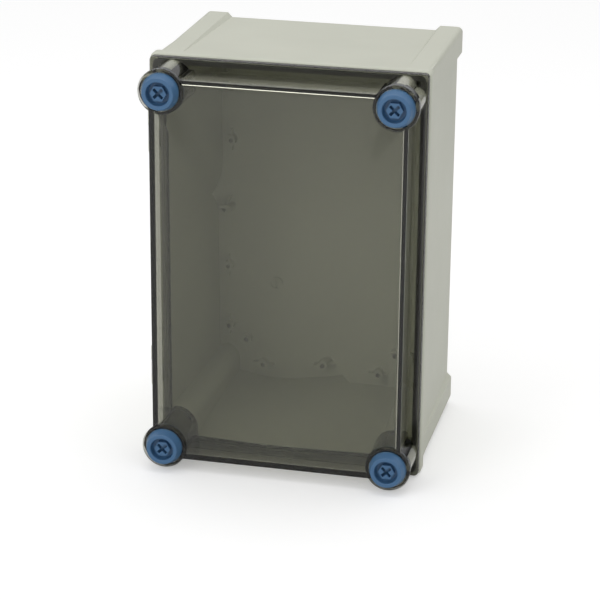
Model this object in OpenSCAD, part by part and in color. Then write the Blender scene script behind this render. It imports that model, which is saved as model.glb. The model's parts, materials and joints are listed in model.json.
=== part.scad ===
// Hinged polycarbonate enclosure: a deep light-grey base box that hangs on a wall,
// a smoke-tinted see-through cover that swings open about a left-hand hinge, and
// four captive quarter-turn cover screws.
// Frame: X to the right, Z up, Y into the wall. The origin is the centre of the
// wall plane, so the front of the enclosure faces -Y.

/* [Enclosure] */
// Width over the rim and the cover flange
width = 188; // [180:1:260]
// Height over the rim and the cover flange
height = 282.5; // [270:0.5:400]
// Depth of the base, from the wall plane to the face that the cover closes on
base_depth = 132; // [110:1:200]
// How far the front panel of the cover stands ahead of the base
cover_rise = 32.7; // [28:0.1:45]
// Gap between the closed cover and the base
closing_gap = 0.3; // [0.2:0.1:0.6]

/* [Base box] */
// Wall thickness of the base
base_wall = 3; // [2.5:0.1:4]
// How far the rim band overhangs the corner columns
rim_overhang = 2.4; // [1.5:0.1:3]
// Depth of the rim band
rim_band = 8; // [5:0.5:10]
// How far the flat walls lean in from the columns at the back
wall_lean = 3; // [2:0.1:4]
// Corner radius of the rim in front view
rim_corner = 4; // [3.5:0.1:6]
// Edge round of the rim, along its front
rim_edge = 2; // [1:0.1:2.4]
// Width of a corner column along the top
column_w = 15.7; // [14:0.1:18]
// Height of a corner column along the side
column_h = 17.7; // [15:0.1:20]
// Bevel between a corner column and the flat wall
column_bevel = 3.2; // [2:0.1:4]
// How far the column feet stand proud of the back wall
foot_proud = 1.2; // [0.5:0.1:2]

/* [Inner bosses] */
// Spacing of the fixing bosses on the back wall
boss_pitch = 47.2; // [40:0.1:48]
// Distance of the boss columns in from the sides
boss_in_x = 17.4; // [16:0.1:24]
// Distance of the boss rows in from the ends
boss_in_z = 19.25; // [18:0.05:26]
// Distance of the corner bosses in from the sides
corner_boss_in_x = 33.5; // [32:0.1:39]
// Distance of the corner bosses in from the ends
corner_boss_in_z = 35.85; // [33:0.05:41]
// Least distance of the last boss in a row from the edge
boss_row_end = 34; // [30:1:46]
// Radius of a fixing boss
boss_r = 3.9; // [3.5:0.1:4.5]
// Radius of the pilot hole in a boss
boss_hole_r = 1.8; // [1.4:0.1:2]
// Height of a boss above the back wall
boss_rise = 6.5; // [5:0.1:8]
// Wall left behind the pilot hole of a boss
boss_floor = 1; // [0.8:0.1:2]
// Thickness of the ribs that steady a boss
boss_rib = 1.2; // [1:0.1:1.6]
// How far a rib reaches from the middle of its boss
boss_rib_reach = 8; // [5:0.1:9]

/* [Wall fixing] */
// Distance of a wall screw outward from its cover screw, across
fixing_dx = 9.2; // [8.5:0.1:9.6]
// Distance of a wall screw outward from its cover screw, up or down
fixing_dz = 9.3; // [8.5:0.1:9.6]
// Radius of the wall screw hole
fixing_r = 2.3; // [2:0.1:2.6]
// Radius of the well that takes the wall screw head
fixing_well_r = 3.4; // [3:0.1:3.6]
// Thickness of the foot that the wall screw clamps
fixing_floor = 6; // [4:0.5:10]

/* [Cover] */
// Thickness of the cover flange
flange_t = 4.7; // [4:0.1:6]
// How far the flange stays inside the rim
flange_inset = 1.2; // [0.6:0.1:1.4]
// Edge round of the flange
flange_edge = 0.8; // [0.4:0.1:1.6]
// Set-back of the raised dome from the edge of the rim
dome_inset = 8.5; // [7:0.1:10]
// Wall thickness of the dome and its front panel
dome_wall = 3; // [2.5:0.1:4]
// Corner radius of the dome in front view
dome_corner = 5; // [4:0.1:8]
// Edge round of the front panel
dome_edge = 0.8; // [0.4:0.1:2.4]
// Radius of a screw tower
tower_r = 14.4; // [13.8:0.1:15]
// Wall of a tower where it follows its two-lobed sleeve
tower_wall = 1.5; // [1.2:0.1:1.6]
// Radius of the lip round the mouth of a tower
lip_r = 15.2; // [14.6:0.1:15.4]
// Height of that lip
lip_h = 3; // [2:0.1:4]
// How far the mouth of a tower stands proud of the front panel
tower_proud = 1; // [0:0.1:2]
// Depth of the cup that holds a screw head
cup_depth = 6; // [5:0.1:7]
// Thickness of the floor of the cup
cup_floor = 2.5; // [2:0.1:3.5]
// Radius of the gate mark in the middle of the panel
gate_r = 4; // [3:0.1:5]
// Radius of the two round mould marks at the foot of the panel
mark_r = 4.8; // [4:0.1:5.5]
// Distance between the two mould marks
mark_pitch = 19; // [14:0.5:24]
// Height of the mould marks above the inner foot of the dome
mark_up = 9; // [7:0.5:14]
// Height of a moulded mark
mark_rise = 0.6; // [0.3:0.1:0.8]

/* [Gasket] */
// Distance of the gasket from the edge of the rim
gasket_inset = 3.2; // [3:0.1:3.4]
// Width of the gasket
gasket_w = 3; // [2.5:0.1:3.1]
// Thickness of the gasket
gasket_t = 2.2; // [1.5:0.1:2.6]

/* [Cover screws] */
// Distance of the cover screws in from the sides
screw_in_x = 16.7; // [16.5:0.1:20]
// Distance of the cover screws in from the ends
screw_in_z = 17.05; // [16.85:0.05:20]
// Radius of the screw head
head_r = 12.5; // [12:0.1:13]
// Height of the straight foot of the screw head
head_foot = 4.4; // [3:0.1:5]
// Height of the tapered part of the head, up to its flat front
head_taper = 5.8; // [3:0.1:7]
// Radius of the flat front of the head
head_front_r = 10.8; // [10.2:0.1:11.5]
// Edge round of that front
head_edge = 0.8; // [0.4:0.1:1]
// Radius of the round recess in the head
recess_r = 7.9; // [6.8:0.1:8.2]
// Depth of the round recess
recess_depth = 5; // [3:0.1:6]
// Corner radius of the six-sided boss in the recess
hex_r = 5.6; // [5:0.1:6.2]
// How far the six-sided boss stays below the brim of the recess
hex_down = 1.6; // [0.5:0.1:2.4]
// Length of the cross slot
cross_len = 8.4; // [6:0.1:9]
// Width of the cross slot
cross_w = 2; // [1.2:0.1:2.4]
// Depth of the cross slot
cross_depth = 4.2; // [1.5:0.1:4.6]
// Radius of the screw shank
shank_r = 3.5; // [3:0.1:3.8]
// Radius of the neck that turns in the keeper
neck_r = 2.1; // [1.6:0.1:2.2]
// Half length of the cross bar at the tip
bar_r = 5.2; // [4.6:0.1:5.3]
// Width of the cross bar
bar_w = 4.4; // [4:0.1:4.6]
// Thickness of the cross bar
bar_t = 3; // [2:0.1:4]
// Running clearance of the shank in the cover
shank_clear = 0.05; // [0.03:0.01:0.1]
// Clearance round the head, in the cup
head_clear = 0.35; // [0.3:0.05:0.6]

/* [Screw sleeves and seals] */
// Radius of a lobe of the guide sleeve
lobe_r = 6.3; // [5.8:0.1:6.4]
// How far a lobe of the tower stands proud of its round side
lobe_proud = 0.2; // [0.1:0.1:0.5]
// Radius of the middle of the sleeve
sleeve_r = 7; // [6.5:0.1:7.5]
// Clearance round the sleeve in its tower
sleeve_clear = 0.15; // [0.1:0.05:0.3]
// Thickness of the retaining clip on the shank
clip_t = 1.2; // [0.8:0.1:1.6]
// Radius of the retaining clip
clip_r = 6; // [5.5:0.1:6.5]
// Width of the clip's mouth
clip_mouth = 3; // [2:0.1:4]
// End play of the screw, above and below the clip
end_play = 0.3; // [0.2:0.05:0.5]
// Radius of the seal ring under a head
seal_ring_r = 9; // [7:0.1:10]
// Thickness of the seal ring
seal_t = 1.6; // [1.2:0.1:2]

/* [Keepers] */
// Thickness of a keeper plate
keeper_t = 2.5; // [2:0.1:3]
// Set-back of the keeper face from the closing face
keeper_down = 2; // [1.5:0.1:3]
// Web of keeper plate left round its slot
keeper_web = 2; // [1.5:0.1:2.2]
// Clearance of the cross bar in the keeper slot
bar_clear = 0.4; // [0.3:0.05:0.6]
// Axial play between the cross bar and the keeper
bar_play = 0.5; // [0.3:0.1:0.8]
// Radius of the post that carries a keeper
post_r = 10.4; // [10.2:0.1:10.8]
// Distance of the keeper screws from the slot middle
keeper_screw_z = 7.4; // [7.2:0.1:7.6]
// Half width of the strip that takes the keeper screws
keeper_strip = 2.4; // [2.2:0.1:2.6]
// Radius of the keeper screw shank
keeper_screw_r = 1; // [0.8:0.1:1.1]
// How much wider the head of a keeper screw is than its shank
keeper_head = 0.7; // [0.5:0.1:0.8]
// Keeper plate left beyond the middle of its screws
keeper_tail = 2; // [1.9:0.1:2.2]
// Length of a keeper screw below the plate
keeper_screw_len = 7; // [5:0.5:9]

/* [Hinges] */
// Distance of the hinges in from the ends
hinge_in_z = 57.25; // [46:0.25:80]
// Distance of the hinge axis outside the edge of the rim
hinge_out = 2.5; // [2:0.1:3.5]
// Distance of the hinge axis behind the closing face
hinge_back = 12; // [11:0.1:14]
// Radius of a hinge barrel
barrel_r = 2.7; // [2.4:0.1:3]
// Radius of a hinge pin
pin_r = 1.2; // [1:0.1:1.4]
// Running clearance of a pin in the cover knuckle
pin_clear = 0.05; // [0.03:0.01:0.1]
// Height of the cover knuckle
knuckle_h = 11.4; // [9:0.1:13]
// Height of each base knuckle
leaf_knuckle_h = 8; // [6:0.1:10]
// End clearance between knuckles
knuckle_gap = 0.3; // [0.2:0.1:0.5]
// Clearance of the hinge arm in its notch in the rim, and ahead of the gasket
arm_clear = 0.4; // [0.3:0.1:0.6]
// Thickness of the base leaf plate
leaf_t = 2.8; // [2.4:0.1:3]
// Depth of the base leaf plate
leaf_d = 21; // [18:0.5:26]
// Radius of the leaf screws
leaf_screw_r = 1.5; // [1.2:0.1:1.7]
// Length of the leaf screws in the wall
leaf_screw_len = 3.2; // [2.5:0.1:3.4]
// Distance of the leaf screws from the middle of the hinge
leaf_screw_z = 9; // [7:0.5:10]

/* [Hidden] */
$fn = 64;

LEFT = -1;
RIGHT = 1;
TOP = 1;
BOTTOM = -1;
CUT = 0.5;               // how far a cut runs past the face that it opens

light_grey = [0.80, 0.80, 0.77];
smoke = [0.36, 0.35, 0.31, 0.55];
blue = [0.36, 0.55, 0.74];
steel = [0.72, 0.73, 0.75];
black = [0.12, 0.12, 0.12];
seal_grey = [0.62, 0.62, 0.60];

back_face = foot_proud;                            // outer face of the back wall
back_inner = back_face + base_wall;                // floor of the box
cover_back = base_depth + closing_gap;             // back face of the cover
flange_front = cover_back + flange_t;
panel_front = base_depth + cover_rise;
panel_back = panel_front - dome_wall;
column_inset = rim_overhang;
wall_inset_back = column_inset + wall_lean;
wall_inset_front = column_inset + 0.2;
cavity_inset_back = wall_inset_back + base_wall;
cavity_inset_front = wall_inset_front + base_wall + 0.9;
column_corner = rim_corner - 0.3;
rim_back = base_depth - rim_band;

screw_x = width / 2 - screw_in_x;
screw_z = height / 2 - screw_in_z;
hinge_z = height / 2 - hinge_in_z;
boss_col = width / 2 - boss_in_x;
boss_row = height / 2 - boss_in_z;
bosses_up = floor((height / 2 - boss_row_end) / boss_pitch);
bosses_across = floor((width / 2 - boss_row_end) / boss_pitch);

// stations along a cover screw, all as distances from the wall plane
tower_front = panel_front + tower_proud;
cup_bottom = tower_front - cup_depth;
cup_under = cup_bottom - cup_floor;
collar_back = cup_under - tower_wall;
head_back = cup_bottom + seal_t + end_play;
head_brim = head_back + head_foot + head_taper;
clip_front = cup_under - end_play;
clip_back = clip_front - clip_t;
sleeve_front = clip_back - end_play;
lobe_out = tower_r + lobe_proud - tower_wall - lobe_r;
sleeve_back = cover_back + gasket_t + sleeve_clear;
pocket_front = cup_under;
keeper_front = base_depth - keeper_down;
keeper_back = keeper_front - keeper_t;
bar_front = keeper_back - bar_play;
bar_back = bar_front - bar_t;
neck_front = keeper_front + 1;
bar_well_back = bar_back - 3;
slot_half = bar_w / 2 + bar_clear;

// hinge axis, seen in plan
hinge_x = -width / 2 - hinge_out;
hinge_d = base_depth - hinge_back;
pad_x = -width / 2 + column_inset - 0.2;           // outer face of the hinge pad on the wall
arm_inner_x = -width / 2 + gasket_inset - arm_clear;
arm_foot_x = pad_x - arm_clear;                    // inner face of the arm, beside the wall
arm_jog = 2;                                       // rise of the slope between these two faces
notch_x = arm_inner_x + arm_clear;
arm_front = flange_front - flange_edge;            // where the arm meets the flange
leaf_back = hinge_d - barrel_r - leaf_d;
leaf_front = hinge_d - barrel_r;
leaf_half = knuckle_h / 2 + knuckle_gap + leaf_knuckle_h;
leaf_screw_d = leaf_back + 5;
pin_half = leaf_half + 0.4;

// How far a cross bar drifts towards the hinge while the cover carries it out of its keeper
function swing_drift(side) =
    let (near_end = side * screw_x - hinge_x - bar_r,
         deep = bar_back - hinge_d,
         out = keeper_front - hinge_d)
    near_end - sqrt(pow(near_end, 2) + pow(deep, 2) - pow(out, 2));

// Turns plan work, drawn in X and up, so that its height runs from the wall to the front
module from_wall() {
    rotate([90, 0, 0]) children();
}

// Lays children out at one corner, with their own +X and +Y pointing outward
module at_corner(side, end) {
    translate([side * screw_x, end * screw_z, 0])
        mirror([side == LEFT ? 1 : 0, 0, 0])
            mirror([0, end == BOTTOM ? 1 : 0, 0])
                children();
}

module at_corners() {
    for (side = [LEFT, RIGHT], end = [TOP, BOTTOM])
        at_corner(side, end) children();
}

module rounded_rect(w, h, r) {
    square([w - 2 * r, h], center = true);
    square([w, h - 2 * r], center = true);
    for (sx = [-1, 1], sy = [-1, 1])
        translate([sx * (w / 2 - r), sy * (h / 2 - r)]) circle(r);
}

// The enclosure's outline, drawn in by an inset
module outline(inset, r) {
    rounded_rect(width - 2 * inset, height - 2 * inset, r);
}

// Upright slab between two stations
module slab(from, to) {
    translate([0, 0, from]) linear_extrude(to - from) children();
}

// A slab with a rounded front edge, as one smooth hull
module soft_slab(inset, corner, edge, from, to) {
    steps = 4;
    hull() {
        slab(from, from + 0.1) outline(inset, corner, $fn = 32);
        for (i = [0 : steps]) {
            turn = 90 * i / steps;
            slab(to - edge + edge * sin(turn) - 0.05, to - edge + edge * sin(turn))
                outline(inset + edge * (1 - cos(turn)), corner - edge * (1 - cos(turn)) * 0.9, $fn = 32);
        }
    }
}

// A frustum between two insets of the outline, with plane sides
module leaning_block(inset_back, inset_front, from, to) {
    hull() {
        slab(from, from + 0.01) square([width - 2 * inset_back, height - 2 * inset_back], center = true);
        slab(to - 0.01, to) square([width - 2 * inset_front, height - 2 * inset_front], center = true);
    }
}

// ---- base ---------------------------------------------------------------

module column_plan() {
    intersection() {
        outline(column_inset, column_corner);
        for (sx = [-1, 1], sy = [-1, 1])
            mirror([sx < 0 ? 1 : 0, 0]) mirror([0, sy < 0 ? 1 : 0])
                translate([width / 2 - column_inset, height / 2 - column_inset])
                    polygon([[1, 1], [-column_w, 1], [-column_w, 0],
                             [-column_w - column_bevel, -column_bevel],
                             [-column_w - column_bevel, -column_h - column_bevel],
                             [-column_bevel, -column_h - column_bevel],
                             [0, -column_h], [1, -column_h]]);
    }
}

// Round post under a cover screw, with webs that tie it into the corner
module post_plan() {
    reach = 12;
    circle(post_r);
    translate([0, -post_r]) square([reach, post_r + reach]);
    translate([-post_r, 0]) square([post_r + reach, reach]);
}

module keeper_plan(side, grow) {
    drift = swing_drift(side);
    inward = bar_r + bar_clear + (side == RIGHT ? drift : 0);
    outward = bar_r + bar_clear + (side == LEFT ? drift : 0);
    half_z = slot_half + keeper_web + grow;
    difference() {
        union() {
            translate([-inward - keeper_web - grow, -half_z])
                square([inward + outward + 2 * (keeper_web + grow), 2 * half_z]);
            translate([-keeper_strip - grow, -keeper_screw_z - keeper_tail - grow])
                square([2 * (keeper_strip + grow), 2 * (keeper_screw_z + keeper_tail + grow)]);
        }
        if (grow == 0)
            slot_plan(side);
    }
}

module slot_plan(side) {
    drift = swing_drift(side);
    inward = bar_r + bar_clear + (side == RIGHT ? drift : 0);
    outward = bar_r + bar_clear + (side == LEFT ? drift : 0);
    translate([-inward, -slot_half]) square([inward + outward, 2 * slot_half]);
}

module side_boss_places() {
    for (sx = [-1, 1], k = [-bosses_up : bosses_up])
        translate([sx * boss_col, k * boss_pitch]) children();
}

module end_boss_places() {
    for (sz = [-1, 1], k = [-bosses_across : bosses_across])
        translate([k * boss_pitch, sz * boss_row]) children();
}

module boss_places() {
    side_boss_places() children();
    end_boss_places() children();
    for (sx = [-1, 1], sz = [-1, 1])
        translate([sx * (width / 2 - corner_boss_in_x), sz * (height / 2 - corner_boss_in_z)]) children();
}

module base_box() {
    color(light_grey) from_wall() difference() {
        union() {
            difference() {
                union() {
                    soft_slab(0, rim_corner, rim_edge, rim_back, base_depth);
                    slab(0, rim_back + 1) column_plan();
                    leaning_block(wall_inset_back, wall_inset_front, back_face, rim_back + 1);
                    hinge_pads();
                }
                leaning_block(cavity_inset_back, cavity_inset_front, back_inner, base_depth + CUT);
            }
            intersection() {
                slab(back_face + 1, keeper_front) at_corners() post_plan();
                leaning_block(wall_inset_back + 1, wall_inset_front + 1, back_face, base_depth);
            }
            slab(back_inner - 1, back_inner + boss_rise) boss_places() circle(boss_r);
            slab(back_inner - 1, back_inner + boss_rise - 2) {
                side_boss_places() square([boss_rib, 2 * boss_rib_reach], center = true);
                end_boss_places() square([2 * boss_rib_reach, boss_rib], center = true);
            }
        }
        slab(back_face + boss_floor, back_inner + boss_rise + CUT) boss_places() circle(boss_hole_r);
        for (side = [LEFT, RIGHT], end = [TOP, BOTTOM]) at_corner(side, end) {
            slab(keeper_back, keeper_front + CUT) keeper_plan(side, 0.1);
            slab(bar_well_back, keeper_back + CUT) {
                circle(bar_r + bar_clear);
                slot_plan(side);
            }
            translate([fixing_dx, fixing_dz]) {
                slab(-CUT, fixing_floor + CUT) circle(fixing_r);
                slab(fixing_floor, keeper_front + CUT) circle(fixing_well_r);
            }
            for (z = [-keeper_screw_z, keeper_screw_z])
                translate([0, z]) slab(keeper_back - keeper_screw_len - 0.5, keeper_back + CUT)
                    circle(keeper_screw_r);
        }
        hinge_notches();
        for (end = [TOP, BOTTOM], z = [-leaf_screw_z, leaf_screw_z])
            translate([pad_x - CUT, end * hinge_z + z, leaf_screw_d]) rotate([0, 90, 0])
                cylinder(r = leaf_screw_r, h = leaf_screw_len + CUT + 0.3);
    }
}

// Flat pads on the left wall that carry the hinge leaves
module hinge_pads() {
    pad_depth = leaf_front - leaf_back + 2;
    for (end = [TOP, BOTTOM])
        translate([pad_x, end * hinge_z - leaf_half - 1, leaf_back - 1])
            cube([base_wall, 2 * leaf_half + 2, pad_depth]);
}

// Notches in the rim band that let the hinge arms and the barrels pass
module hinge_notches() {
    for (end = [TOP, BOTTOM])
        translate([-width / 2 - CUT, end * hinge_z - knuckle_h / 2 - knuckle_gap, rim_back - CUT])
            cube([notch_x + width / 2 + CUT, knuckle_h + 2 * knuckle_gap, rim_band + 2 * CUT]);
}

// ---- keepers ------------------------------------------------------------

module keeper(side, end) {
    color(steel) from_wall() at_corner(side, end) difference() {
        slab(keeper_back, keeper_front) keeper_plan(side, 0);
        for (z = [-keeper_screw_z, keeper_screw_z]) translate([0, z, 0]) {
            slab(keeper_back - CUT, keeper_front + CUT) circle(keeper_screw_r + 0.1);
            translate([0, 0, keeper_front - keeper_head])
                cylinder(r1 = keeper_screw_r + 0.1, r2 = keeper_screw_r + keeper_head + 0.1, h = keeper_head);
        }
    }
}

module keeper_screws() {
    color(steel) from_wall() at_corners()
        for (z = [-keeper_screw_z, keeper_screw_z]) translate([0, z, 0]) difference() {
            union() {
                slab(keeper_back - keeper_screw_len, keeper_front) circle(keeper_screw_r);
                translate([0, 0, keeper_front - keeper_head])
                    cylinder(r1 = keeper_screw_r, r2 = keeper_screw_r + keeper_head, h = keeper_head);
            }
            slab(keeper_front - 0.5, keeper_front + CUT) square([0.5, 2], center = true);
            slab(keeper_front - 0.5, keeper_front + CUT) square([2, 0.5], center = true);
        }
}

// ---- hinges -------------------------------------------------------------

module hinge_leaf(end) {
    color(light_grey) translate([0, 0, end * hinge_z]) difference() {
        union() {
            translate([pad_x - leaf_t, -leaf_front, -leaf_half])
                cube([leaf_t, leaf_front - leaf_back, 2 * leaf_half]);
            for (s = [-1, 1])
                translate([0, 0, s * (knuckle_h / 2 + knuckle_gap + leaf_knuckle_h / 2)])
                    leaf_knuckle();
        }
        translate([hinge_x, -hinge_d, -leaf_half - CUT]) cylinder(r = pin_r + 0.01, h = 2 * leaf_half + 2 * CUT);
        for (z = [-leaf_screw_z, leaf_screw_z])
            translate([pad_x - leaf_t, -leaf_screw_d, z]) rotate([0, 90, 0]) {
                translate([0, 0, -CUT]) cylinder(r = leaf_screw_r + 0.1, h = leaf_t + 2 * CUT);
                cylinder(r1 = leaf_screw_r + 1.6, r2 = leaf_screw_r + 0.1, h = 1.5);
            }
    }
}

module leaf_knuckle() {
    linear_extrude(leaf_knuckle_h, center = true) {
        translate([hinge_x, -hinge_d]) circle(barrel_r);
        polygon([[pad_x, -leaf_front + 6], [pad_x - leaf_t, -leaf_front + 6],
                 [hinge_x - barrel_r * 0.75, -hinge_d + barrel_r * 0.6], [hinge_x, -hinge_d - barrel_r * 0.9],
                 [pad_x - 0.6, -leaf_front - 1.2], [pad_x, -leaf_front]]);
    }
}

module hinge_pin(end) {
    color(steel) translate([hinge_x, -hinge_d, end * hinge_z - pin_half])
        cylinder(r = pin_r, h = 2 * pin_half);
}

module hinge_screws() {
    color(steel) for (end = [TOP, BOTTOM], z = [-leaf_screw_z, leaf_screw_z])
        translate([pad_x - leaf_t, -leaf_screw_d, end * hinge_z + z]) rotate([0, 90, 0]) difference() {
            union() {
                cylinder(r1 = leaf_screw_r + 1.5, r2 = leaf_screw_r, h = 1.5);
                cylinder(r = leaf_screw_r, h = leaf_t + leaf_screw_len);
            }
            translate([0, 0, -CUT]) linear_extrude(CUT + 0.9) square([0.7, 3.6], center = true);
            translate([0, 0, -CUT]) linear_extrude(CUT + 0.9) square([3.6, 0.7], center = true);
        }
}

// ---- cover --------------------------------------------------------------

module sleeve_plan(grow) {
    circle(sleeve_r + grow);
    translate([lobe_out, 0]) circle(lobe_r + grow);
    translate([0, lobe_out]) circle(lobe_r + grow);
}

// A screw tower: round towards the panel, two-lobed towards the corner
module tower_plan() {
    sleeve_plan(tower_wall);
    difference() {
        circle(tower_r);
        square(tower_r);
    }
}

module hinge_arm_plan() {
    translate([hinge_x, -hinge_d]) circle(barrel_r);
    polygon([[arm_inner_x, -arm_front], [-width / 2 + flange_inset, -arm_front],
             [hinge_x - barrel_r * 0.93, -hinge_d - 1], [hinge_x, -hinge_d + barrel_r * 0.5],
             [arm_foot_x, -hinge_d - 0.5], [arm_foot_x, -rim_back], [arm_inner_x, -rim_back - arm_jog]]);
}

module cover() {
    color(smoke) difference() {
        union() {
            from_wall() difference() {
                union() {
                    soft_slab(flange_inset, rim_corner - flange_inset, flange_edge, cover_back, flange_front);
                    soft_slab(dome_inset, dome_corner, dome_edge, cover_back + 1, panel_front);
                    at_corners() {
                        slab(cover_back + 1, tower_front) tower_plan();
                        slab(collar_back, tower_front) circle(tower_r);
                        slab(tower_front - lip_h, tower_front) circle(lip_r);
                    }
                }
                difference() {
                    slab(cover_back - CUT, panel_back)
                        outline(dome_inset + dome_wall, dome_corner - 1);
                    slab(cover_back - 2 * CUT, panel_front) at_corners() tower_plan();
                    slab(collar_back, panel_front) at_corners() circle(tower_r);
                    panel_marks();
                }
                slab(cover_back - CUT, cover_back + gasket_t) gasket_plan(0);
                at_corners() {
                    slab(cup_bottom, tower_front + CUT) circle(head_r + head_clear);
                    slab(cup_under - CUT, cup_bottom + CUT) circle(shank_r + shank_clear);
                    slab(cover_back - CUT, pocket_front) sleeve_plan(sleeve_clear);
                }
            }
            for (end = [TOP, BOTTOM])
                translate([0, 0, end * hinge_z]) linear_extrude(knuckle_h, center = true) hinge_arm_plan();
        }
        for (end = [TOP, BOTTOM])
            translate([hinge_x, -hinge_d, end * hinge_z - knuckle_h / 2 - CUT])
                cylinder(r = pin_r + pin_clear, h = knuckle_h + 2 * CUT);
    }
}

// Raised marks that the mould leaves on the inside of the panel
module panel_marks() {
    foot = -height / 2 + dome_inset + dome_wall;
    slab(panel_back - mark_rise, panel_back + CUT) {
        difference() {
            circle(gate_r);
            square([0.8, 2 * gate_r - 1.6], center = true);
        }
        for (s = [-1, 1]) translate([s * mark_pitch / 2, foot + mark_up]) {
            difference() {
                circle(mark_r);
                circle(mark_r - 0.7);
            }
            circle(mark_r * 0.4);
        }
    }
}

module gasket_plan(slack) {
    difference() {
        outline(gasket_inset + slack, rim_corner - 1);
        outline(gasket_inset + gasket_w - slack, 1.5);
    }
}

module cover_gasket() {
    color(seal_grey) from_wall() slab(cover_back, cover_back + gasket_t) gasket_plan(0);
}

module screw_seals() {
    color(black) from_wall() at_corners() translate([0, 0, cup_bottom + seal_t / 2])
        rotate_extrude() translate([seal_ring_r, 0]) circle(seal_t / 2);
}

module sleeve(side, end) {
    color(light_grey) from_wall() at_corner(side, end) difference() {
        slab(sleeve_back, sleeve_front) sleeve_plan(0);
        slab(sleeve_back - CUT, sleeve_front + CUT) circle(shank_r + shank_clear);
    }
}

// ---- cover screws ---------------------------------------------------------

// Half section of the screw, from its axis outward
module screw_profile() {
    polygon([[0, head_brim - recess_depth], [recess_r - 0.6, head_brim - recess_depth],
             [recess_r, head_brim - recess_depth + 0.6], [recess_r, head_brim - 0.4],
             [recess_r + 0.4, head_brim],
             each [for (turn = [90 : -22.5 : 0])
                 [head_front_r - head_edge * (1 - cos(turn)), head_brim - head_edge * (1 - sin(turn))]],
             [head_r, head_back + head_foot], [head_r, head_back + 0.4], [head_r - 0.4, head_back],
             [shank_r, head_back], [shank_r, neck_front], [neck_r, neck_front],
             [neck_r, bar_back], [0, bar_back]]);
}

module cover_screw(side, end) {
    hex_front = head_brim - hex_down;
    color(blue) from_wall() translate([side * screw_x, end * screw_z, 0]) difference() {
        union() {
            rotate_extrude() screw_profile();
            intersection() {
                translate([0, 0, bar_back]) linear_extrude(bar_t) square([2 * bar_r, bar_w], center = true);
                translate([0, 0, bar_back]) cylinder(r = bar_r, h = bar_t);
            }
            translate([0, 0, head_brim - recess_depth - 1])
                cylinder(r = hex_r, h = recess_depth + 1 - hex_down, $fn = 6);
        }
        for (turn = [45, 135]) rotate([0, 0, turn])
            translate([0, 0, hex_front - cross_depth]) linear_extrude(cross_depth + CUT)
                square([cross_len, cross_w], center = true);
        difference() {
            translate([0, 0, clip_back]) cylinder(r = shank_r + 1, h = clip_t);
            translate([0, 0, clip_back - CUT]) cylinder(r = shank_r - 0.8, h = clip_t + 2 * CUT);
        }
    }
}

// Retaining clip: an open ring pressed into a groove of the shank
module clip(side, end) {
    color(steel) from_wall() translate([side * screw_x, end * screw_z, 0]) difference() {
        slab(clip_back, clip_front) circle(clip_r);
        slab(clip_back - CUT, clip_front + CUT) circle(shank_r - 0.8);
        slab(clip_back - CUT, clip_front + CUT) translate([0, -clip_r]) square([clip_mouth, 2 * clip_r], center = true);
    }
}

base_box();
keeper(LEFT, TOP);  // keeper_top_left
keeper(RIGHT, TOP);  // keeper_top_right
keeper(LEFT, BOTTOM);  // keeper_bottom_left
keeper(RIGHT, BOTTOM);  // keeper_bottom_right
keeper_screws();
hinge_leaf(TOP);  // hinge_leaf_upper
hinge_leaf(BOTTOM);  // hinge_leaf_lower
hinge_pin(TOP);  // hinge_pin_upper
hinge_pin(BOTTOM);  // hinge_pin_lower
hinge_screws();
cover();
cover_gasket();
screw_seals();
sleeve(LEFT, TOP);  // sleeve_top_left
sleeve(RIGHT, TOP);  // sleeve_top_right
sleeve(LEFT, BOTTOM);  // sleeve_bottom_left
sleeve(RIGHT, BOTTOM);  // sleeve_bottom_right
cover_screw(LEFT, TOP);  // screw_top_left
cover_screw(RIGHT, TOP);  // screw_top_right
cover_screw(LEFT, BOTTOM);  // screw_bottom_left
cover_screw(RIGHT, BOTTOM);  // screw_bottom_right
clip(LEFT, TOP);  // clip_top_left
clip(RIGHT, TOP);  // clip_top_right
clip(LEFT, BOTTOM);  // clip_bottom_left
clip(RIGHT, BOTTOM);  // clip_bottom_right
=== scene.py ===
"""Hinged polycarbonate enclosure: a light-grey base box, a smoke see-through cover, blue cover screws."""
import json
import math

import bmesh
import bpy
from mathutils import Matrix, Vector


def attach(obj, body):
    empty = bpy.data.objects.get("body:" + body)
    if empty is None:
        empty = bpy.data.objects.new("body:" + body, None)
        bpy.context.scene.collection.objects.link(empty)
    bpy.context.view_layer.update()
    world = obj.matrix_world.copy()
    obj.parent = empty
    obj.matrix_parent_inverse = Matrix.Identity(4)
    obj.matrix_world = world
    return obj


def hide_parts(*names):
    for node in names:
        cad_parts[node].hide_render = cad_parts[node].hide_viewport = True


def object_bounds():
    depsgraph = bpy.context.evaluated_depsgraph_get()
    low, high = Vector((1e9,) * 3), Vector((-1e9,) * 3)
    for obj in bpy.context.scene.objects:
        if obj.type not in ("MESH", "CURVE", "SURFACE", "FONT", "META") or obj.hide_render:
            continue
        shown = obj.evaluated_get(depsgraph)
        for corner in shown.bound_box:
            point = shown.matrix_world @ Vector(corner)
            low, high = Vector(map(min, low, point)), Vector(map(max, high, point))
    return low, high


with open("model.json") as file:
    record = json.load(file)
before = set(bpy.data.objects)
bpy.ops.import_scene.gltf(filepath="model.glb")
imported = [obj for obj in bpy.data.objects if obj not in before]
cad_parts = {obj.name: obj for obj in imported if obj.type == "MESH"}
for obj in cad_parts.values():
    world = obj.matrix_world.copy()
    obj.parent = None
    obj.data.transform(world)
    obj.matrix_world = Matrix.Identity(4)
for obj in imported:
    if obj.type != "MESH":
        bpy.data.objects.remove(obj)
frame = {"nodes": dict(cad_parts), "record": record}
cad_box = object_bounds()

MM = 0.001

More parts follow.
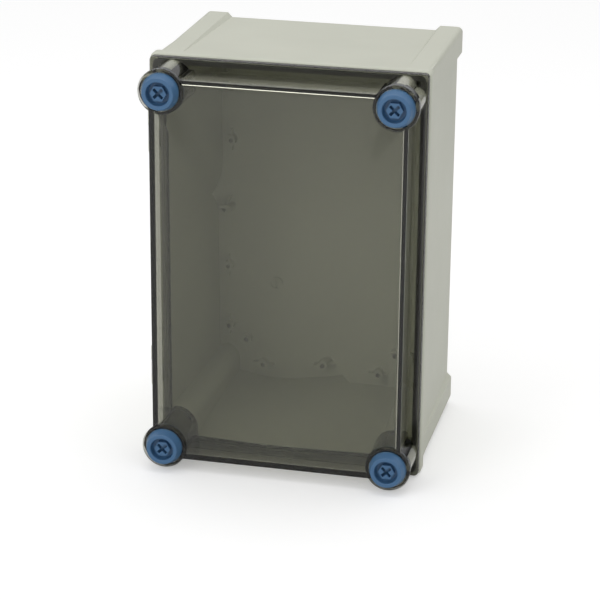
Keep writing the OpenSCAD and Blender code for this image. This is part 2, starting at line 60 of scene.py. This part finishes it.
# ---- camera -------------------------------------------------------------------
VIEW_AZIMUTH = math.radians(13.06)
VIEW_ELEVATION = math.radians(20.3)
VIEW_ROLL = math.radians(0.54)
VIEW_DISTANCE = 1.6477
VIEW_TARGET = Vector((-0.0045, -0.075, -0.0439))
LENS = 142.06
SENSOR = 36.0


def make_camera():
    data = bpy.data.cameras.new("camera")
    data.lens, data.sensor_width = LENS, SENSOR
    data.clip_start, data.clip_end = 0.05, 50
    camera = bpy.data.objects.new("camera", data)
    bpy.context.scene.collection.objects.link(camera)
    back = Vector((math.sin(VIEW_AZIMUTH) * math.cos(VIEW_ELEVATION),
                   -math.cos(VIEW_AZIMUTH) * math.cos(VIEW_ELEVATION), math.sin(VIEW_ELEVATION)))
    right = (-back).cross(Vector((0, 0, 1))).normalized()
    up = right.cross(-back)
    rolled_right = right * math.cos(VIEW_ROLL) + up * math.sin(VIEW_ROLL)
    rolled_up = up * math.cos(VIEW_ROLL) - right * math.sin(VIEW_ROLL)
    turned = camera.matrix_world.copy()
    for row in range(3):
        turned[row][0], turned[row][1], turned[row][2] = rolled_right[row], rolled_up[row], back[row]
        turned[row][3] = (VIEW_TARGET + back * VIEW_DISTANCE)[row]
    camera.matrix_world = turned
    bpy.context.scene.camera = camera


# ---- materials ----------------------------------------------------------------
class Nodes:
    """A material's node tree, with short calls to add and join nodes."""

    def __init__(self, name):
        self.material = bpy.data.materials.new(name)
        self.material.use_nodes = True
        self.tree = self.material.node_tree
        self.tree.nodes.clear()
        self.output = self.add("OutputMaterial")

    def add(self, kind, **inputs):
        node = self.tree.nodes.new("ShaderNode" + kind)
        for name, value in inputs.items():
            self.put(node, name.replace("_", " "), value)
        return node

    def put(self, node, name, value):
        if isinstance(value, bpy.types.NodeSocket):
            self.tree.links.new(value, node.inputs[name])
        else:
            node.inputs[name].default_value = value

    def noise(self, scale, detail=3.0, roughness=0.5):
        place = self.add("TexCoord").outputs["Object"]
        return self.add("TexNoise", Vector=place, Scale=scale, Detail=detail, Roughness=roughness)

    def ramp(self, factor, low, high, start=0.3, end=0.7):
        ramp = self.add("ValToRGB", Fac=factor)
        ramp.color_ramp.elements[0].position, ramp.color_ramp.elements[0].color = start, low
        ramp.color_ramp.elements[1].position, ramp.color_ramp.elements[1].color = end, high
        return ramp.outputs["Color"]

    def spread(self, factor, low, high):
        spread = self.add("MapRange", Value=factor)
        spread.inputs["To Min"].default_value, spread.inputs["To Max"].default_value = low, high
        return spread.outputs["Result"]


def shade(color, by):
    return (*[min(1.0, c * by) for c in color], 1)


def moulded_plastic(name, color, roughness, grain_depth, grain_scale=2600, mottling=0.03):
    """Opaque moulded plastic: fine spark-eroded grain, faint flow clouds, gloss that varies a little."""
    n = Nodes(name)
    clouds = n.noise(14, 4).outputs["Fac"]
    grain = n.noise(grain_scale, 2).outputs["Fac"]
    smears = n.noise(60, 3).outputs["Fac"]
    bump = n.add("Bump", Strength=0.35, Distance=grain_depth, Height=grain)
    shader = n.add("BsdfPrincipled", Normal=bump.outputs["Normal"],
                   Roughness=n.spread(smears, roughness - 0.05, roughness + 0.05))
    n.put(shader, "Base Color", n.ramp(clouds, shade(color, 1 - mottling), shade(color, 1 + mottling)))
    n.put(shader, "IOR", 1.5)
    n.put(n.output, "Surface", shader.outputs["BSDF"])
    return n.material


SMOKE_IOR = 1.58
SMOKE_TINT = (0.44, 0.44, 0.30, 1)
SMOKE_DENSITY = 190.0


def smoke_polycarbonate():
    """See-through smoke cover: clear surface over a tinted body, so edges seen end-on go dark."""
    n = Nodes("smoke_polycarbonate")
    ripple = n.noise(38, 2).outputs["Fac"]
    haze = n.noise(900, 2).outputs["Fac"]
    bump = n.add("Bump", Strength=0.05, Distance=0.0004, Height=ripple)
    clear = n.add("BsdfPrincipled", Normal=bump.outputs["Normal"], Roughness=n.spread(haze, 0.015, 0.05))
    n.put(clear, "Base Color", (1, 1, 1, 1))
    n.put(clear, "Transmission Weight", 1.0)
    n.put(clear, "IOR", SMOKE_IOR)
    through = n.add("BsdfTransparent", Color=(0.92, 0.92, 0.92, 1))
    path = n.add("LightPath")
    mix = n.add("MixShader", Fac=path.outputs["Is Shadow Ray"])
    n.tree.links.new(clear.outputs["BSDF"], mix.inputs[1])
    n.tree.links.new(through.outputs["BSDF"], mix.inputs[2])
    body = n.add("VolumeAbsorption", Color=SMOKE_TINT, Density=SMOKE_DENSITY)
    n.put(n.output, "Surface", mix.outputs["Shader"])
    n.put(n.output, "Volume", body.outputs["Volume"])
    return n.material


ZINC_DARK = (0.50, 0.51, 0.53, 1)
ZINC_LIGHT = (0.66, 0.67, 0.69, 1)


def zinc_steel():
    n = Nodes("zinc_steel")
    streaks = n.noise(450, 4).outputs["Fac"]
    shader = n.add("BsdfPrincipled", Roughness=n.spread(streaks, 0.28, 0.45))
    tone = n.noise(120, 3).outputs["Fac"]
    n.put(shader, "Base Color", n.ramp(tone, ZINC_DARK, ZINC_LIGHT))
    n.put(shader, "Metallic", 1.0)
    n.put(n.output, "Surface", shader.outputs["BSDF"])
    return n.material


GREY = (0.565, 0.575, 0.487)
SEAL_GREY = (0.40, 0.40, 0.38)
BLUE = (0.057, 0.145, 0.28)
BLACK = (0.022, 0.022, 0.022)


def dress_nodes():
    finishes = {
        "light_grey_polycarbonate": moulded_plastic("light_grey_polycarbonate", GREY, 0.42, 0.00006),
        "smoke_polycarbonate": smoke_polycarbonate(),
        "blue_polyamide": moulded_plastic("blue_polyamide", BLUE, 0.34, 0.00004),
        "zinc_steel": zinc_steel(),
        "black_rubber": moulded_plastic("black_rubber", BLACK, 0.6, 0.00006),
        "grey_rubber": moulded_plastic("grey_rubber", SEAL_GREY, 0.6, 0.00006),
    }
    for part in frame["record"]["subparts"]:
        node = frame["nodes"][part["node"]]
        for each in (node if isinstance(node, (list, tuple)) else [node]):
            each.data.materials.clear()
            each.data.materials.append(finishes[part["material_slot"]])
    return finishes


# ---- moulded cover ----------------------------------------------------------------
# Stations of the cover, as distances ahead of the wall plane, and the radii that its mould rounds
PANEL_BACK = 161.7 * MM
TOWER_FRONT = 165.7 * MM
INNER_FILLET = 1.6 * MM
MOUTH_ROUND = 0.45 * MM
TOUCH = 0.01 * MM
DOUBLES = 0.001 * MM
FLAT_DEGREES = 0.5
CREASE_DEGREES = 32
# The raised marks: one in the middle of the panel, two at its foot
GATE_REACH = 6 * MM
FOOT_MARKS_HALF_WIDTH = 16 * MM
FOOT_MARKS_DOWN = 120.75 * MM
FOOT_MARKS_REACH = 6 * MM


def crisp(bm, degrees=CREASE_DEGREES):
    """Smooth shading, with creases where two faces meet at more than this."""
    for face in bm.faces:
        face.smooth = True
    for edge in bm.edges:
        edge.smooth = edge.is_manifold and edge.calc_face_angle() < math.radians(degrees)


def corner_edges(bm, station):
    """The edges at one distance ahead of the wall where a face seen from the front meets an upright one."""
    found = []
    for edge in bm.edges:
        if any(abs(v.co.y + station) > TOUCH for v in edge.verts) or not edge.is_manifold:
            continue
        facing = sorted(abs(face.normal.y) for face in edge.link_faces)
        if facing[0] < 0.05 and facing[1] > 0.95:
            found.append(edge)
    return found


def is_mark(edge):
    """The raised marks inside the panel keep their own sharp edges."""
    middle = (edge.verts[0].co + edge.verts[1].co) / 2
    gate = math.hypot(middle.x, middle.z) < GATE_REACH
    foot = (abs(middle.x) < FOOT_MARKS_HALF_WIDTH
            and abs(middle.z + FOOT_MARKS_DOWN) < FOOT_MARKS_REACH)
    return gate or foot


def round_edges(bm, edges, radius, segments):
    bmesh.ops.bevel(bm, geom=edges, offset=radius, offset_type="OFFSET", segments=segments, profile=0.5,
                    affect="EDGES", clamp_overlap=False, material=-1)


def make_cover(finish):
    """The cover as it comes from the mould: a fillet inside the panel and eased tower mouths."""
    source = frame["nodes"]["cover"]
    mesh = bpy.data.meshes.new("moulded_cover")
    bm = bmesh.new()
    bm.from_mesh(source.data)
    bmesh.ops.remove_doubles(bm, verts=bm.verts, dist=DOUBLES)
    bmesh.ops.dissolve_limit(bm, angle_limit=math.radians(FLAT_DEGREES), verts=bm.verts, edges=bm.edges)
    round_edges(bm, [e for e in corner_edges(bm, PANEL_BACK) if not is_mark(e)], INNER_FILLET, 4)
    round_edges(bm, corner_edges(bm, TOWER_FRONT), MOUTH_ROUND, 2)
    crisp(bm)
    bm.to_mesh(mesh)
    bm.free()
    cover = bpy.data.objects.new("moulded_cover", mesh)
    bpy.context.scene.collection.objects.link(cover)
    mesh.materials.append(finish)
    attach(cover, "cover")
    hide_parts("cover")
    return cover


# ---- studio ---------------------------------------------------------------------
# Strengths of the surroundings: for the camera, for soft light, mirrored in front of the object, behind
# it and above it, and seen through the smoke body low down and overhead
WHITE = 1.0
SOFT = 0.71
MIRRORED = 0.5
BEHIND = 0.08
SKY = 0.75
SEEN_THROUGH = 0.12
CEILING = 2.2
# Where the surroundings fade from one strength to the next, as direction cosines
CEILING_FADE = (0.3, 0.75)
BEHIND_FADE = (-0.2, 0.2)
SKY_FADE = (0.0, 0.3)
FLOOR_HALF = 6.0
FLOOR_GAP = 0.0002
FLOOR_ALBEDO = 0.80
FLOOR_LIFT = 0.33
AIM = (0, -0.08, 0)
# name, place, edge length, power
LAMPS = [("top_softbox", (0.0, -0.1, 1.6), 1.0, 5.3),
         ("front_left_softbox", (-1.0, -1.7, 1.1), 1.0, 6.5),
         ("front_right_softbox", (1.1, -1.7, 0.9), 1.0, 1.3)]


def pale_floor():
    """A pale diffuse floor that stays white to the camera and keeps the object's soft shadow."""
    n = Nodes("floor")
    cloud = n.noise(3, 2).outputs["Fac"]
    shader = n.add("BsdfDiffuse")
    n.put(shader, "Color", n.ramp(cloud, shade([FLOOR_ALBEDO] * 3, 0.995), shade([FLOOR_ALBEDO] * 3, 1.005)))
    path = n.add("LightPath")
    glow = n.add("Emission", Color=(1, 1, 1, 1))
    lift = n.add("Math", Value=path.outputs["Is Camera Ray"])
    lift.operation = "MULTIPLY"
    lift.inputs[1].default_value = FLOOR_LIFT
    n.put(glow, "Strength", lift.outputs["Value"])
    both = n.add("AddShader")
    n.tree.links.new(shader.outputs["BSDF"], both.inputs[0])
    n.tree.links.new(glow.outputs["Emission"], both.inputs[1])
    n.put(n.output, "Surface", both.outputs["Shader"])
    return n.material


def make_floor():
    mesh = bpy.data.meshes.new("floor")
    bm = bmesh.new()
    bmesh.ops.create_grid(bm, x_segments=1, y_segments=1, size=FLOOR_HALF)
    bm.to_mesh(mesh)
    bm.free()
    floor = bpy.data.objects.new("floor", mesh)
    floor.location = (0, 0, cad_box[0][2] - FLOOR_GAP)
    bpy.context.scene.collection.objects.link(floor)
    mesh.materials.append(pale_floor())


def make_world():
    """A white ground for the camera and a soft tent for light. What the smoke cover mirrors or shows
    through its body is a bright ceiling above dark screens, which draw its edges."""
    world = bpy.data.worlds.new("studio")
    bpy.context.scene.world = world
    world.use_nodes = True
    tree = world.node_tree
    tree.nodes.clear()

    def math(kind, *values):
        node = tree.nodes.new("ShaderNodeMath")
        node.operation = kind
        for socket, value in zip(node.inputs, values):
            if isinstance(value, bpy.types.NodeSocket):
                tree.links.new(value, socket)
            else:
                socket.default_value = value
        return node.outputs["Value"]

    def pick(factor, low, high):
        rest = math("SUBTRACT", 1.0, factor)
        return math("ADD", math("MULTIPLY", factor, high), math("MULTIPLY", rest, low))

    output = tree.nodes.new("ShaderNodeOutputWorld")
    ground = tree.nodes.new("ShaderNodeBackground")
    path = tree.nodes.new("ShaderNodeLightPath")
    place = tree.nodes.new("ShaderNodeTexCoord")
    split = tree.nodes.new("ShaderNodeSeparateXYZ")
    tree.links.new(place.outputs["Generated"], split.inputs["Vector"])

    def fade(axis, start, end):
        step = tree.nodes.new("ShaderNodeMapRange")
        step.interpolation_type = "SMOOTHSTEP"
        step.inputs["From Min"].default_value, step.inputs["From Max"].default_value = start, end
        tree.links.new(split.outputs[axis], step.inputs["Value"])
        return step.outputs["Result"]

    direct = math("LESS_THAN", path.outputs["Diffuse Depth"], 0.5)
    mirrored = math("MULTIPLY", direct, path.outputs["Is Glossy Ray"])
    through = math("MULTIPLY", direct, path.outputs["Is Transmission Ray"])
    seen = pick(fade("Z", *CEILING_FADE), SEEN_THROUGH, CEILING)
    low = pick(fade("Y", *BEHIND_FADE), MIRRORED, BEHIND)
    mirror = pick(fade("Z", *SKY_FADE), low, SKY)
    level = pick(through, pick(mirrored, SOFT, mirror), seen)
    tree.links.new(pick(path.outputs["Is Camera Ray"], level, WHITE), ground.inputs["Strength"])
    ground.inputs["Color"].default_value = (1, 1, 1, 1)
    tree.links.new(ground.outputs["Background"], output.inputs["Surface"])


def lamp(name, place, size, power):
    data = bpy.data.lights.new(name, "AREA")
    data.shape, data.size, data.energy = "SQUARE", size, power
    obj = bpy.data.objects.new(name, data)
    obj.location = place
    obj.rotation_mode = "QUATERNION"
    obj.rotation_quaternion = (Vector(AIM) - Vector(place)).to_track_quat("-Z", "Y")
    bpy.context.scene.collection.objects.link(obj)


make_camera()
finishes = dress_nodes()
make_cover(finishes["smoke_polycarbonate"])
make_floor()
make_world()
for each in LAMPS:
    lamp(*each)
bpy.context.scene.view_settings.view_transform = "Standard"
